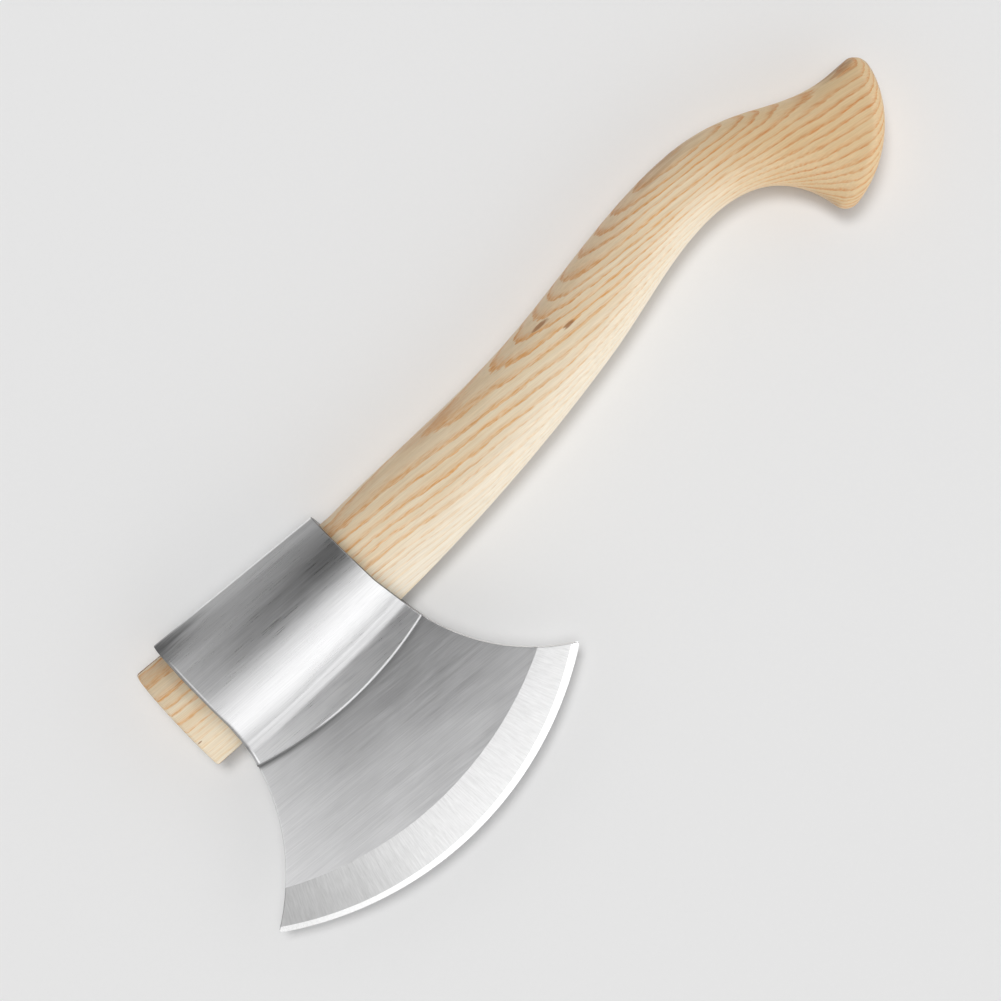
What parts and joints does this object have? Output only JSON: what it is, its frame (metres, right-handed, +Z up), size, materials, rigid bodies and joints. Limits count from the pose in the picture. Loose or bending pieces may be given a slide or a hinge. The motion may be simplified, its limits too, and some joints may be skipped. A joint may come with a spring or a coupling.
{
  "type": "carving hatchet",
  "caption": "One-hand carving hatchet with a fan-shaped stainless steel blade, a folded sheet-steel eye sleeve and a curved ash handle that flares into a knob.",
  "frame": {"origin": "bottom centre of the hatchet's box as it lies on its side", "axes": "+X from the head to the knob along the eye, +Y towards the poll and the back of the handle with the cutting edge at -Y, +Z up, square to the blade's cheeks"},
  "size_m": [0.4052, 0.1553, 0.034],
  "materials": {
    "blade_steel": "brushed along the handle, ground across at the bevel, bright honed edge",
    "sleeve_steel": "satin, brushed along the handle",
    "ash": "fine sanded and oiled, open ash grain",
    "wedge_wood": "sawn hardwood",
    "wedge_steel": "dull, hammered heads"
  },
  "bodies": {
    "root": {"blade": "blade_steel", "eye_sleeve": "sleeve_steel", "handle": "ash", "kerf_wedge": "wedge_wood", "cross_wedges": "wedge_steel"}
  },
  "joints": []
}
